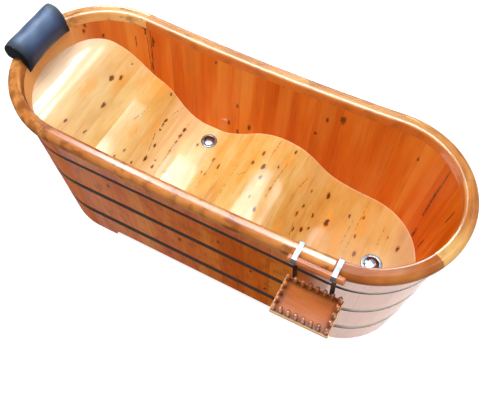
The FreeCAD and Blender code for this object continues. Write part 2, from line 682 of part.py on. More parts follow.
def strip_corners(path, thick):
    """Outline corners of a bent strip of even thickness along a line of (u, v, bend) points."""
    sides = ([], [])
    count = len(path)
    for i in range(count):
        here = V(path[i][0], path[i][1], 0)
        into = here - V(path[i - 1][0], path[i - 1][1], 0) if i > 0 else None
        out = V(path[i + 1][0], path[i + 1][1], 0) - here if i < count - 1 else None
        into = into if into is not None else out
        out = out if out is not None else into
        into = V(into).normalize()
        out = V(out).normalize()
        left_in = V(-into.y, into.x, 0)
        left_out = V(-out.y, out.x, 0)
        mitre = left_in + left_out
        mitre = mitre / (1 + left_in.dot(left_out))
        turn = into.cross(out).z
        for side, sign in ((0, 1), (1, -1)):
            corner = here + mitre * (sign * thick / 2)
            bend = path[i][2]
            radius = 0
            if bend > 0:
                radius = bend - sign * thick / 2 if turn > 0 else bend + sign * thick / 2
            sides[side].append((corner.x, corner.y, radius))
    return sides[0] + sides[1][::-1]


half_hook = k.hook_thick / 2
wrap = k.bar_radius + hook_gap + half_hook
leg_middle = leg_out - half_hook
lip_in = k.hook_play + half_hook + lean_share * k.hook_drop
ramp_from = -(k.rim_width - k.rim_outer_round)
over_bar = bar_middle + wrap
hook_path = [(lip_in, -k.hook_drop, 0), (lip_in, hook_gap + half_hook, k.hook_bend)]
hook_path += [(ramp_from, hook_gap + half_hook, k.hook_bend), (-k.rim_width, over_bar, k.hook_bend)]
hook_path += [(-bar_out - wrap, over_bar, wrap)]
hook_path += [(-bar_out - wrap, bar_middle - wrap, wrap)]
hook_path += [(-leg_middle, bar_middle - wrap, k.hook_bend)]
hook_path += [(-leg_middle, tray_top - k.tray_thick, 0)]
screw_z = tray_top - (k.peg_tenon + k.tray_thick) / 2
hooks = []
screws = []
screw_holes = []
for side in (-1, 1):
    x = side * k.hook_spacing / 2 - k.hook_setback
    face = rounded_face(strip_corners(hook_path, k.hook_thick), lambda p: V(x - k.hook_width / 2, p.x, p.y))
    hook = face.extrude(V(k.hook_width, 0, 0))
    flush = V(x, -leg_out + k.hook_thick, screw_z)
    outwards = V(0, -1, 0)
    room_round = k.fit_gap / 2
    drill = Part.makeCylinder(k.screw_radius + room_round, k.screw_length + k.overrun, flush, outwards)
    sink = Part.makeCone(k.screw_head_radius + room_round, k.screw_radius + room_round,
                         k.screw_head_thick, flush, outwards)
    hooks.append(set_down(hook.cut([drill, sink])))
    screw_holes.append(drill)
    shank = Part.makeCylinder(k.screw_radius, k.screw_length, flush, outwards)
    head = Part.makeCone(k.screw_head_radius, k.screw_radius, k.screw_head_thick, flush, outwards)
    screws.append(set_down(shank.fuse(head).removeSplitter()))
group("basket_hooks", hooks)
group("basket_screws", screws)

bar_stock = doc.addObject("Part::Cylinder", "basket_bar_stock")
tie(bar_stock, Radius="Sizes.bar_radius", Height="Sizes.bar_length")
doc.recompute()
bar = doc.addObject("Part::Fillet", "basket_bar")
bar.Label = "basket_bar"
bar.Base = bar_stock
rounding = min(k.bar_round, k.bar_radius / 2)
rings = [i + 1 for i, edge in enumerate(bar_stock.Shape.Edges)
         if edge.Closed and edge.Curve.TypeId == "Part::GeomCircle"]
bar.Edges = [(i, rounding, rounding) for i in rings]
bar.Placement = basket_at.multiply(FreeCAD.Placement(
    V(-k.bar_setback - k.bar_length / 2, -bar_out, bar_middle), FreeCAD.Rotation(V(0, 1, 0), 90)))

# Pegs round the edge of the base, let into it
tray = Part.makeBox(k.tray_length, k.tray_depth, k.tray_thick,
                    V(-k.tray_length / 2, -tray_back - k.tray_depth, tray_top - k.tray_thick))
uprights = [e for e in tray.Edges if abs(e.tangentAt(e.FirstParameter).z) > math.cos(math.pi / 4)]
tray = tray.makeFillet(min(k.tray_round, k.peg_inset / 2), uprights)
long_run = k.tray_length - 2 * k.peg_inset
short_run = k.tray_depth - 2 * k.peg_inset
long_count = max(2, round(long_run / k.peg_pitch) + 1)
short_count = max(2, round(short_run / k.peg_pitch) + 1)
spots = []
for i in range(long_count):
    u = -long_run / 2 + i * long_run / (long_count - 1)
    spots.append((u, -tray_back - k.peg_inset))
    spots.append((u, -tray_back - k.tray_depth + k.peg_inset))
for j in range(1, short_count - 1):
    v = -tray_back - k.peg_inset - j * short_run / (short_count - 1)
    spots.append((-long_run / 2, v))
    spots.append((long_run / 2, v))
pegs = []
foot = tray_top - k.peg_tenon
dome_z = tray_top + k.peg_height - k.peg_radius
for u, v in spots:
    tray = tray.cut(Part.makeCylinder(k.peg_radius + k.fit_gap / 2, k.peg_tenon + k.overrun, V(u, v, foot)))
    post = Part.makeCylinder(k.peg_radius, dome_z - foot, V(u, v, foot))
    dome = Part.makeSphere(k.peg_radius, V(u, v, dome_z))
    pegs.append(set_down(post.fuse(dome).removeSplitter()))
for drill in screw_holes:
    tray = tray.cut(drill)
add("basket_tray", set_down(tray.Solids[0]))
group("basket_pegs", pegs)

doc.recompute()

NODES = [
    "staves_near_side", "staves_far_side", "staves_head_end", "staves_foot_end",
    "hoop_top", "hoop_middle", "hoop_bottom",
    "rim_near_rail", "rim_far_rail", "rim_head_end", "rim_foot_end",
    "base_boards", "batten_head", "batten_centre", "batten_foot",
    "recliner_backrest", "recliner_seat", "recliner_legs", "recliner_bearers",
    "seat_drain_body", "seat_drain_gasket", "seat_drain_nut", "seat_drain_tail", "seat_drain_plug",
    "foot_drain_body", "foot_drain_gasket", "foot_drain_nut", "foot_drain_tail", "foot_drain_plug",
    "headrest_pad",
    "basket_tray", "basket_pegs", "basket_bar", "basket_hooks", "basket_screws",
]
for piece in doc.Objects:
    if "Invalid" in piece.State or "Error" in piece.State:
        raise RuntimeError("%s failed: %s" % (piece.Label, piece.State))
os.makedirs("parts", exist_ok=True)
for label in NODES:
    shape = doc.getObjectsByLabel(label)[0].Shape
    if shape.isNull() or not shape.isValid() or not shape.Solids:
        raise RuntimeError("%s has no valid shape" % label)
    shape.exportStep(os.path.join("parts", label + ".step"))
    print(label, len(shape.Solids), "solids", round(shape.Volume))
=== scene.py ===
# %% [markdown]
# # A wooden bathtub, dressed for its portrait
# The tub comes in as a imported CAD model: staves, hoops, rim, lounging deck, drains, headrest
# and a hang-on basket. This lesson gives every surface its finish, swaps the headrest's plain
# solid for a padded one, and sets up a studio with a camera.

import functools
import math

import bpy
import numpy as np
from mathutils import Matrix, Vector


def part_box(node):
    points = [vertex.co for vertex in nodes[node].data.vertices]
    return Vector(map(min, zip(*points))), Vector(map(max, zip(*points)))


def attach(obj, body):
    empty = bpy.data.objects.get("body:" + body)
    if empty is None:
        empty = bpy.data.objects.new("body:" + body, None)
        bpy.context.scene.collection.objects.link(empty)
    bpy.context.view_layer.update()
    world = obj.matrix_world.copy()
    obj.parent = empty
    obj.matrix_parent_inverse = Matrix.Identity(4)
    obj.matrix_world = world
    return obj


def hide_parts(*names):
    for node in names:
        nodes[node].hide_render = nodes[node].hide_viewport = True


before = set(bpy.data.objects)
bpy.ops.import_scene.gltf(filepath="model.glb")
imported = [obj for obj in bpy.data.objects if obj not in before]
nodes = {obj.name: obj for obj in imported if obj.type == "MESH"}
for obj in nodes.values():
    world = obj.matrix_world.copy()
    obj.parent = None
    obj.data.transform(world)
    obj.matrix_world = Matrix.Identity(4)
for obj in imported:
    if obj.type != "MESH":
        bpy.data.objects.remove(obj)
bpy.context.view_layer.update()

# %% [markdown]
# ## Camera
# The view looks down on the tub from above its near side, towards the head end. A camera could be
# aimed at a target by a constraint, but then its roll stays level, so place and turn are given as
# numbers: yaw about the upright, pitch down from the horizon, and a small roll. The lens follows
# from the focal length in pixels and the picture's width, on a sensor 36 mm wide.

# %% Camera
CAMERA_PLACE = Vector((0.5348, -0.9731, 2.1277))
CAMERA_YAW, CAMERA_PITCH, CAMERA_ROLL = -0.4597, 1.0482, 0.0229
FOCAL_LENGTH = 589.7215
PICTURE_WIDTH = 488
SENSOR = 36.0

ahead = Vector((math.sin(CAMERA_YAW) * math.cos(CAMERA_PITCH),
                math.cos(CAMERA_YAW) * math.cos(CAMERA_PITCH), -math.sin(CAMERA_PITCH)))
right = Vector((math.cos(CAMERA_YAW), -math.sin(CAMERA_YAW), 0))
up = right.cross(ahead)
turned_right = math.cos(CAMERA_ROLL) * right + math.sin(CAMERA_ROLL) * up
turned_up = math.cos(CAMERA_ROLL) * up - math.sin(CAMERA_ROLL) * right

bpy.ops.object.select_all(action="DESELECT")
bpy.ops.object.camera_add()
camera = bpy.context.object
camera.matrix_world = Matrix((turned_right, turned_up, -ahead)).transposed().to_4x4()
camera.location = CAMERA_PLACE
camera.data.sensor_width = SENSOR
camera.data.lens = FOCAL_LENGTH / PICTURE_WIDTH * SENSOR
bpy.context.scene.camera = camera
print("camera lens", round(camera.data.lens, 2), "mm")

# %% [markdown]
# ## Shader maths
# A material is a web of nodes. It could be drawn by hand in the node editor, but sums written in
# Python are easier to read and to change: a Wire holds one output socket, and adding or multiplying
# Wires lays down Math nodes. A Finish is one material, and its node method is the only place where a
# node is made.


# %% Wires
class Wire:
    """One output socket of a finish, with arithmetic."""

    def __init__(self, finish, socket):
        self.finish = finish
        self.socket = socket

    def maths(self, operation, first, second=0.0):
        return self.finish.node("Math", {"operation": operation}, {0: first, 1: second})

    def __add__(self, other):
        return self.maths("ADD", self, other)

    def __sub__(self, other):
        return self.maths("SUBTRACT", self, other)

    def __mul__(self, other):
        return self.maths("MULTIPLY", self, other)

    def __truediv__(self, other):
        return self.maths("DIVIDE", self, other)

    def __radd__(self, other):
        return self.maths("ADD", other, self)

    def __rsub__(self, other):
        return self.maths("SUBTRACT", other, self)

    def __rmul__(self, other):
        return self.maths("MULTIPLY", other, self)

    def __rtruediv__(self, other):
        return self.maths("DIVIDE", other, self)

    def __abs__(self):
        return self.maths("ABSOLUTE", self)

    def __floor__(self):
        return self.maths("FLOOR", self)

    def upto(self, other):
        return self.maths("MINIMUM", self, other)

    def atleast(self, other):
        return self.maths("MAXIMUM", self, other)


def strongest(wires):
    """The largest of several Wires at each point."""
    return functools.reduce(Wire.atleast, wires)


print("wires ready")


# %% Finishes
class Finish:
    """One procedural material, or the world's light."""

    def __init__(self, name, world=None):
        self.material = world or bpy.data.materials.new(name)
        self.material.use_nodes = True
        self.tree = self.material.node_tree
        self.shader = self.tree.nodes["Background" if world else "Principled BSDF"]
        if world:
            return
        place = self.node("TexCoord", output="Object")
        self.place = place
        self.x, self.y, self.z = (self.node("SeparateXYZ", (), {0: place}, i) for i in range(3))

    def feed(self, socket, value):
        if isinstance(value, Wire):
            self.tree.links.new(value.socket, socket)
        else:
            socket.default_value = value

    def node(self, kind, settings=(), inputs=(), output=0):
        made = self.tree.nodes.new("ShaderNode" + kind)
        for name, value in dict(settings).items():
            if name == "stops":
                set_stops(made.color_ramp, value)
            elif name == "points":
                set_points(made.mapping, value)
            else:
                setattr(made, name, value)
        for key, value in dict(inputs).items():
            self.feed(made.inputs[key], value)
        return Wire(self, made.outputs[output])

    def point(self, x, y, z=0.0):
        return self.node("CombineXYZ", (), {0: x, 1: y, 2: z})

    def noise(self, vector, scale=1.0, detail=2.0, rough=0.5):
        return self.node("TexNoise", (), {"Vector": vector, "Scale": scale, "Detail": detail,
                                          "Roughness": rough})

    def chance(self, number):
        return self.node("TexWhiteNoise", {"noise_dimensions": "1D"}, {"W": number})

    def step(self, value, low, high):
        """Smooth rise from 0 at low to 1 at high."""
        return self.node("MapRange", {"interpolation_type": "SMOOTHSTEP"},
                         {"Value": value, "From Min": low, "From Max": high})

    def ramp(self, value, stops):
        return self.node("ValToRGB", {"stops": stops}, {0: value})

    def mix(self, share, first, second):
        return self.node("Mix", {"data_type": "RGBA"}, {0: share, 6: first, 7: second}, 2)

    def bump(self, height, distance):
        return self.node("Bump", (), {"Height": height, "Distance": distance})

    def surface(self, **sockets):
        """Feed the shader; coat_weight stands for the socket Coat Weight."""
        for name, value in sockets.items():
            title = " ".join(word.upper() if word == "ior" else word.title()
                             for word in name.split("_"))
            self.feed(self.shader.inputs[title], value)
        return self.material


def set_stops(ramp, stops):
    while len(ramp.elements) < len(stops):
        ramp.elements.new(1.0)
    for element, (position, colour) in zip(ramp.elements, stops):
        element.position = position
        element.color = colour


def set_points(mapping, points):
    curve = mapping.curves[0]
    while len(curve.points) < len(points):
        curve.points.new(1.0, 1.0)
    for spot, place in zip(curve.points, points):
        spot.location = place
        spot.handle_type = "AUTO"
    mapping.update()


def tint(red, green, blue):
    """A colour as a picture editor gives it, 0 to 255, as the shader wants it."""
    shares = [level / 255 for level in (red, green, blue)]
    linear = [s / 12.92 if s <= 0.04045 else ((s + 0.055) / 1.055) ** 2.4 for s in shares]
    return (*linear, 1.0)


print("finishes ready")

# %% [markdown]
# ## Knots and streaks
# The boards are knotty softwood. Where a branch grew there is an oval knot with a dark core, and
# resin and dirt draw hair lines along the grain. These could be small pictures laid on the boards,
# but that needs unwrapped meshes. In the shader a list of places does the same: the field is 1 at
# the heart of a mark, falls to 0 at its edge, and noise bends the outline. Pin knots are too many
# to list, so they come from a cell pattern in which most cells stay empty.

# %% Knots and streaks
KNOT_STRETCH, KNOT_WANDER = 0.5, 0.012
BLUSH_STRETCH, BLUSH_WANDER = 0.35, 0.03


def spot_field(f, across, along, spots, stretch, wander):
    """1 at the heart of each listed spot, falling to 0 at its radius."""
    wobble = f.noise(f.point(across, along), 1.1 / wander, 3.0) - 0.5
    sway = f.noise(f.point(along, across, 3.0), 0.8 / wander, 3.0) - 0.5
    here = f.point(across + wobble * wander, along * stretch + sway * wander)

    def nearness(u, v, radius):
        away = f.node("VectorMath", {"operation": "DISTANCE"},
                      {0: here, 1: (u, v * stretch, 0.0)}, "Value")
        return f.node("Math", {"operation": "MULTIPLY_ADD", "use_clamp": True},
                      {0: away, 1: -1.0 / radius, 2: 1.0})

    return strongest(nearness(*spot) for spot in spots)


def streak_field(f, across, along, streaks, broken):
    """Dark hair lines along the grain: each from one place to another, more or less broken."""
    sway = (f.noise(f.point(along * 30, across * 8), detail=2.0) - 0.5) * 0.006
    dashes = f.step(f.noise(f.point(across * 40, along * 90, 1.3), detail=2.0), 0.38, 0.6)

    def nearness(u_low, v_low, u_high, v_high, half):
        share = (along - v_low) / (v_high - v_low)
        away = abs(across + sway - u_low - share * (u_high - u_low))
        within = f.step(share, -0.05, 0.1) * (1 - f.step(share, 0.9, 1.05))
        return (1 - f.step(away, half * 0.3, half)) * within

    return strongest(nearness(*streak) for streak in streaks) * (1 - broken + dashes * broken)


def pin_field(f, across, along, seed, cells, reach):
    """Scattered pin knots: one chance in each cell, most of them empty."""
    cell = {"Vector": f.point(across, along * KNOT_STRETCH, seed), "Scale": cells}
    away = f.node("TexVoronoi", (), cell, "Distance") / cells
    pick = f.node("TexVoronoi", (), cell, "Color")
    luck = f.node("SeparateColor", (), {0: pick}, 0)
    size = f.step(luck, 0.7, 1.0) * reach
    return f.step(1 - away / size.atleast(0.0001), 0.0, 0.8)


print("knots and streaks ready")

# %% [markdown]
# ## Wood
# Every board has clear lacquer over it, and is pale and honey on the deck, deeper orange on the
# wall. A picture of wood could be wrapped round each piece, but it would stretch on the curves and
# repeat from board to board, so one function draws all of it from two lengths, across and along
# the grain. Growth rings are sine bands bent by slow noise, fibres are noise drawn out along the
# grain, each board has its own tone, and knots push the rings aside and darken at the core. Between
# tone and knots come washes: the wear or stain of one place, and in some places painted light,
# painted shade or painted glare. The lacquer is the shader's coat, so a worn place only has less of
# it.

# %% Wood
# pale is the tint of painted glare and painted highlight; core darkens knot cores and is also painted
# shade under the hoops, on the tray among the pegs and at the pegs' feet.
WARM = {"red": tint(190, 96, 32), "gold": tint(236, 168, 70), "halo": tint(186, 104, 40),
        "core": tint(84, 40, 14), "seam": tint(92, 48, 18), "pale": tint(244, 222, 200),
        "stain": tint(128, 64, 24)}
RINGS, RING_BEND, RING_PUSH = 95.0, 11.0, 1.2
# Marks in a metre, across the grain and along it.
FIBRE, BROAD, PATCH = (320, 9), (18, 5), (10, 5)
BEND, RED, STAIN = (7, 1.6), (42, 3.5), (34, 15)
# Places in the noise: each board has its own, and some marks run on from board to board.
BOARD_STEP, RED_STEP, PATCH_PLACE, STAIN_PLACE, SEAM_STEP = 3.71, 5.3, 7.7, 4.1, 1.37
SEAM_HALF, SEAM_FADE = 0.0004, 0.0014
BUMP = 0.0003


def wood(name, across, along, board, seam, tones, knots=(), streaks=(), blush=(), pins=(9.0, 0.010),
         coat=1.0, flow=1.0, spread=0.15, red_share=0.35, blotch=0.0, seam_share=0.5, gloss=0.06,
         ior=1.5, washes=None, broken=0.4, streak_share=None):
    """Lacquered boards. across, along, board and seam each take the finish and say what a point is."""
    f = Finish(name)
    u, v, seed = across(f), along(f), board(f) * BOARD_STEP

    def marks(in_a_metre, place, detail=3.0, rough=0.5, drawn=1.0):
        spot = f.point(u * in_a_metre[0], v * (in_a_metre[1] * drawn), place)
        return f.noise(spot, 1.0, detail, rough)

    knotted = pin_field(f, u, v, seed, *pins)
    if knots:
        knotted = knotted.atleast(spot_field(f, u, v, knots, KNOT_STRETCH, KNOT_WANDER))
    phase = u * RINGS + (marks(BEND, seed) - 0.5) * RING_BEND + knotted * RING_PUSH
    ring = f.step(f.node("Math", {"operation": "SINE"}, {0: phase * math.tau}), -0.3, 1.0)
    fibre = marks(FIBRE, seed)
    patch = marks(PATCH, PATCH_PLACE, drawn=flow)
    tone = marks(BROAD, seed, 4.0, 0.62, flow) * 0.8 + patch * 0.9 + ring * 0.05 + fibre * 0.16
    colour = f.ramp(tone + (f.chance(seed) - 0.5) * spread - 0.5, tones)
    red = f.step(marks(RED, seed + RED_STEP, 4.0), 0.56, 0.74)
    colour = f.mix(red * red_share, colour, WARM["red"])
    for share, paint in washes(f) if washes else ():
        colour = f.mix(share, colour, paint)
    if blush:
        flush = f.step(spot_field(f, u, v, blush, BLUSH_STRETCH, BLUSH_WANDER), 0.0, 0.9)
        colour = f.mix(flush * patch * 1.3, colour, WARM["gold"])
    if blotch:
        stain = f.step(marks(STAIN, STAIN_PLACE, 4.0, 0.6), 0.5, 0.66)
        colour = f.mix(stain * blotch, colour, WARM["stain"])
    colour = f.mix(f.step(knotted, 0.0, 0.5) * 0.5, colour, WARM["halo"])
    core = f.step(knotted, 0.35, 0.6) * (0.45 + patch * 0.8)
    colour = f.mix(core, colour, WARM["core"])
    lines, height = [], fibre * 0.4
    if seam:
        gap, dark = seam(f)
        lines.append((1 - f.step(gap, SEAM_HALF, SEAM_FADE)) * (dark * seam_share))
        height = height + f.step(gap, 0.0, SEAM_FADE)
    if streaks:
        hairs = streak_field(f, u, v, streaks, broken)
        lines.append(hairs * streak_share(f) if streak_share else hairs)
    if lines:
        colour = f.mix(strongest(lines), colour, WARM["seam"])
    return f.surface(base_color=colour, roughness=0.36 + fibre * 0.16, normal=f.bump(height, BUMP),
                     specular_ior_level=0.0, coat_weight=coat(f) if callable(coat) else coat,
                     coat_roughness=gloss, coat_ior=ior)


def seams(f, count, pitch):
    """Distance to the nearest seam between evenly spaced boards, and how dark that seam is."""
    gap = (0.5 - abs(count - math.floor(count) - 0.5)) * pitch
    bold = f.step(f.chance(math.floor(count + 0.5) * SEAM_STEP), 0.6, 1.0)
    return gap, bold * 0.6 + 0.15


def past_middle(f, place, lot):
    """A lot number for one half of the tub, so that each half has boards of its own."""
    return f.step(place, -0.01, 0.01) * lot


print("wood ready")

# %% [markdown]
# ## Wall staves
# The wall is a ring of upright boards: ten along each side, and nine wedge-shaped ones round each
# end. The CAD model has every board as a solid, so the finish only has to know which board a point
# is on. Along a side the boards are counted by length, and round an end by angle about the end's
# centre. Each board could have a material of its own, but a count in the shader needs only one for
# each wall. The knots and smears that stand out are listed by place along the wall and height.

# %% Wall boards
AMBER = [(0.1, tint(228, 138, 52)), (0.4, tint(218, 109, 26)), (0.65, tint(201, 87, 16)),
         (0.95, tint(150, 58, 10))]
HALF_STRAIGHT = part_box("staves_near_side")[1].x
STAVE = 2 * HALF_STRAIGHT / 10
END_STAVE = math.pi / 9
END_RADIUS = 0.27


def around(f):
    """Angle about the centre of the nearer round end, from the near wall to the far wall."""
    return f.node("Math", {"operation": "ARCTAN2"}, {0: f.y, 1: abs(f.x) - HALF_STRAIGHT})


def side_count(f):
    return (f.x + HALF_STRAIGHT) / STAVE


def end_count(f):
    return (around(f) + math.pi / 2) / END_STAVE


FAR_KNOTS = [(-0.449, 0.587, 0.011), (-0.194, 0.602, 0.008), (-0.105, 0.43, 0.008),
             (-0.138, 0.32, 0.011), (-0.053, 0.341, 0.012), (-0.101, 0.287, 0.010),
             (0.063, 0.62, 0.006), (0.175, 0.647, 0.008), (0.234, 0.547, 0.009),
             (0.286, 0.573, 0.017), (0.203, 0.459, 0.010)]
NEAR_KNOTS = [(-0.31, 0.47, 0.012), (0.1, 0.44, 0.009), (-0.06, 0.29, 0.012), (0.27, 0.21, 0.011),
              (0.37, 0.5, 0.008)]


def end_knots(*places):
    return [(math.radians(angle) * END_RADIUS, height, radius) for angle, height, radius in places]


HEAD_KNOTS = end_knots((33, 0.657, 0.011), (40, 0.636, 0.007), (38, 0.615, 0.010), (52, 0.577, 0.008),
                       (83, 0.651, 0.014), (-40, 0.45, 0.012), (10, 0.3, 0.01))
FOOT_KNOTS = end_knots((70, 0.553, 0.009), (-30, 0.4, 0.012))


def end_smears(*lines):
    return [(math.radians(a) * END_RADIUS, low, math.radians(b) * END_RADIUS, high, half)
            for a, low, b, high, half in lines]


FOOT_SMEARS = end_smears((43.5, 0.44, 43.5, 0.56, 0.0075), (43.3, 0.54, 43.3, 0.64, 0.004),
                         (42.8, 0.37, 43.2, 0.45, 0.0065), (40.0, 0.24, 40.6, 0.3, 0.008),
                         (18.0, 0.52, 17.0, 0.6, 0.005), (27.0, 0.26, 26.0, 0.33, 0.005))
HEAD_SMEARS = end_smears((88.0, 0.6, 88.3, 0.66, 0.007), (86.0, 0.625, 86.4, 0.66, 0.005),
                         (78.0, 0.53, 78.4, 0.58, 0.003), (89.4, 0.42, 88.9, 0.6, 0.0025))
SIDE_SMEARS = [(-0.462, 0.42, -0.458, 0.66, 0.0028), (-0.4515, 0.555, -0.4505, 0.605, 0.0055),
               (-0.463, 0.495, -0.461, 0.535, 0.004), (-0.466, 0.435, -0.465, 0.475, 0.004)]
print(len(FAR_KNOTS + NEAR_KNOTS + HEAD_KNOTS + FOOT_KNOTS), "knots on the wall")

# %% [markdown]
# The same boards change from place to place. Inside the head end the short height of wall over the
# deck has painted light, lightened to tan where the headrest shades it, and a few far boards are
# paler. Outside, a painted shadow lies under each hoop, the near wall is dulled where people step
# in, and the foot end has a painted pale glare for the floor that its thick lacquer mirrors; over
# the near wall's last boards this painted glare fades in. Each such place is a wash or a coat
# weight, made from smooth steps along a length, which is easier to move than a painting.

# %% Wear and lacquer of the wall
WALL_AT_FLOOR = -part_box("staves_near_side")[1].y
WALL_LEAN = 0.0565
HOOPS = ("hoop_top", "hoop_middle", "hoop_bottom")
FAR_PALE_BOARDS = ((-0.33, -0.255), (-0.19, -0.15), (-0.12, -0.05), (0.05, 0.1), (0.205, 0.258))
FOOT_GLOSS_IOR = 2.8


def from_spine(f):
    """Distance, seen from above, to the line that joins the centres of the two round ends."""
    out = f.point((abs(f.x) - HALF_STRAIGHT).atleast(0.0), f.y)
    return f.node("VectorMath", {"operation": "LENGTH"}, {0: out}, "Value")


def from_wall(f):
    """How far a point lies inside the wall's inner face, less than nothing outside it."""
    return WALL_AT_FLOOR + f.z * WALL_LEAN - from_spine(f)


def inside(f):
    return f.step(from_wall(f), -0.018, -0.008)


def outside(f):
    return 1 - inside(f)


def foot_painted_glare(f):
    """Painted glare: the outside of the foot end is washed pale, less towards the far wall."""
    return [(outside(f) * (1 - f.step(around(f), -0.9, 0.7)) * 0.25, WARM["pale"])]


def head_painted_light(f):
    """Painted light: inside the head end, the short height of wall over the deck is lightened to tan.
    """
    lit_share = 0.95 - f.step(around(f), 0.2, 0.9) * 0.85
    return [(inside(f) * f.step(f.z, 0.42, 0.56) * lit_share, tint(252, 198, 126))]


def foot_lacquer(f):
    """Thick and glossy outside the foot end, thinner inside and towards the far wall."""
    return 0.04 + outside(f) * (0.96 - f.step(around(f), -0.4, 0.5) * 0.75)


def near_lacquer(f):
    """Outside the near wall the lacquer is dulled where people step in, more towards the foot."""
    return (0.02 + (1 - f.step(f.x, -0.55, 0.25)) * 0.24 + f.step(f.z, 0.48, 0.62) * 0.2
            + f.step(f.x, 0.4, 0.48) * 0.7)


def hoop_painted_shadow(f):
    """A painted shadow: a dark line under each hoop, outside."""
    lines = (1 - f.step(abs(f.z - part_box(label)[0].z + 0.001), 0.003, 0.006) for label in HOOPS)
    return [(strongest(lines) * outside(f) * 0.8, WARM["core"])]


def far_pale_boards_and_shade(f):
    """A few far boards were cut from paler stock, and a painted shadow lies under each hoop."""
    boards = (f.step(f.x, low - 0.002, low + 0.002) * (1 - f.step(f.x, high - 0.004, high + 0.004))
              for low, high in FAR_PALE_BOARDS)
    return [(strongest(boards) * f.step(f.z, 0.3, 0.56) * 0.32, tint(232, 148, 58))] + hoop_painted_shadow(f)


def near_painted_glare_and_shade(f):
    """Painted glare from the foot end fades in over the last boards, behind the basket; hoop shadows
    are painted.
    """
    return [(outside(f) * f.step(f.x, 0.36, 0.48) * 0.3, WARM["pale"])] + hoop_painted_shadow(f)


print("wall wear ready for", len(HOOPS), "hoops")

# %% [markdown]
# The two long walls are alike and so are the two ends, so each pair shares one recipe. What differs
# is a row: knots, smears, lacquer, and washes of board tone, painted light and painted shade. The
# smears are drawn on the inside only.

# %% Wall staves
for label, knots, coat, washes, blotch in (
        ("staves_near_side", NEAR_KNOTS, near_lacquer, near_painted_glare_and_shade, 0.35),
        ("staves_far_side", FAR_KNOTS, 0.5, far_pale_boards_and_shade, 0.0)):
    nodes[label].data.materials[0] = wood(
        label + "_wood", lambda f: f.x, lambda f: f.z,
        lambda f: math.floor(side_count(f)) + past_middle(f, f.y, lot=31),
        lambda f: seams(f, side_count(f), STAVE), AMBER, knots, SIDE_SMEARS, flow=0.3, spread=0.2,
        gloss=0.12, coat=coat, washes=washes, blotch=blotch, streak_share=inside)
for label, knots, smears, coat, ior, washes in (
        ("staves_head_end", HEAD_KNOTS, HEAD_SMEARS, 0.1, 1.5, head_painted_light),
        ("staves_foot_end", FOOT_KNOTS, FOOT_SMEARS, foot_lacquer, FOOT_GLOSS_IOR, foot_painted_glare)):
    nodes[label].data.materials[0] = wood(
        label + "_wood", lambda f: around(f) * END_RADIUS, lambda f: f.z,
        lambda f: math.floor(end_count(f)) + past_middle(f, f.x, lot=47),
        lambda f: seams(f, end_count(f), END_STAVE * END_RADIUS), AMBER, knots, smears, flow=0.3,
        spread=0.35, coat=coat, ior=ior, washes=washes, streak_share=inside)
print("wall staves finished")

# %% [markdown]
# ## Rim
# A rail lies along each long wall, and three curved segments close each end. The real ones are sawn
# to shape and glued, so the grain follows the rim and a fine dark line shows at each joint. The
# meshes could be unwrapped along the rim, but two numbers do: the distance from the rim's inner
# face, which is the same on rails and curves, and the angle round an end.

# %% Places on the rim
TAN = [(0.1, tint(238, 188, 122)), (0.4, tint(222, 158, 90)), (0.65, tint(198, 124, 60)),
       (0.95, tint(152, 86, 36))]
SEGMENT = math.pi / 3
RIM_INNER = -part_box("rim_near_rail")[1].y
RIM_PINS = (7.0, 0.012)
RAIL_SEAM = 0.44


def rim_across(f):
    return from_spine(f) + f.z * 0.6


def segment_count(f):
    return (around(f) + math.pi / 2) / SEGMENT


def from_inner_face(f):
    """How far out a point of the rim lies from the rim's inner face."""
    return from_spine(f) - RIM_INNER


def polish(f, width=0.011):
    """The lacquer is thick on the rounded inner edge and thin on the rest of the rim."""
    return 1 - f.step(from_inner_face(f), width, width + 0.005)


def sheen_line(f):
    """The near rail has kept its gloss in one line along the flat of its top."""
    off = from_inner_face(f)
    return f.step(off, 0.010, 0.014) * (1 - f.step(off, 0.024, 0.029))


print("rim's inner face lies", round(RIM_INNER, 4), "m from the middle")

# %% [markdown]
# The rim is what people hold and sit on. Its top is rubbed and stained on the near side and round
# the head, with painted shade on the near rail's top, and has stayed pale on the far side; the inner
# face of the rails and the foot rim takes a painted reflection of the orange wall. Gloss is left in
# stripes and on the inner edge. Such stripes could be painted by hand, but as steps of the distance
# they follow the rim by themselves.


# %% Wear of the rim
def inner_face(f):
    """Painted reflection: the rim's inner face, up to its rounded edge, takes the wall's deep orange.
    """
    return [((1 - f.step(from_inner_face(f), 0.001, 0.003)) * 0.85, tint(212, 104, 28))]


def far_rail(f):
    """The far rail's top has stayed pale, apart from its outer edge."""
    off = from_inner_face(f)
    top = f.step(off, 0.001, 0.004) * (1 - f.step(off, 0.02, 0.03))
    cloud = f.noise(f.point(off * 60, f.x * 5, 4.0), detail=3.0)
    return inner_face(f) + [(top * (0.05 + cloud * 0.6), tint(246, 206, 152))]


def near_rail(f):
    """Stains and painted shade darken the near rail's top in brown blotches, more towards the head."""
    cloud = f.noise(f.place, 30.0, 3.0)
    left = 1 - f.step(f.x, -0.45, 0.0)
    stain_and_shade = f.step(f.z, 0.63, 0.648) * (cloud * 0.55 + left * 0.35)
    return inner_face(f) + [(stain_and_shade, tint(160, 84, 38))]


def foot_rim(f):
    """The foot rim's near segment is redder and streaked, and the one beside it starts pale."""
    cloud = f.noise(f.point(rim_across(f) * 60, around(f) * 5, 2.0), detail=3.0)
    near = 1 - f.step(around(f), -SEGMENT / 2 - 0.004, -SEGMENT / 2 + 0.004)
    beside = (1 - near) * (1 - f.step(around(f), -0.4, 0.1))
    return inner_face(f) + [(near * (cloud * 0.9 + 0.05), tint(150, 70, 26)),
                            (beside * 0.6, tint(246, 204, 128))]


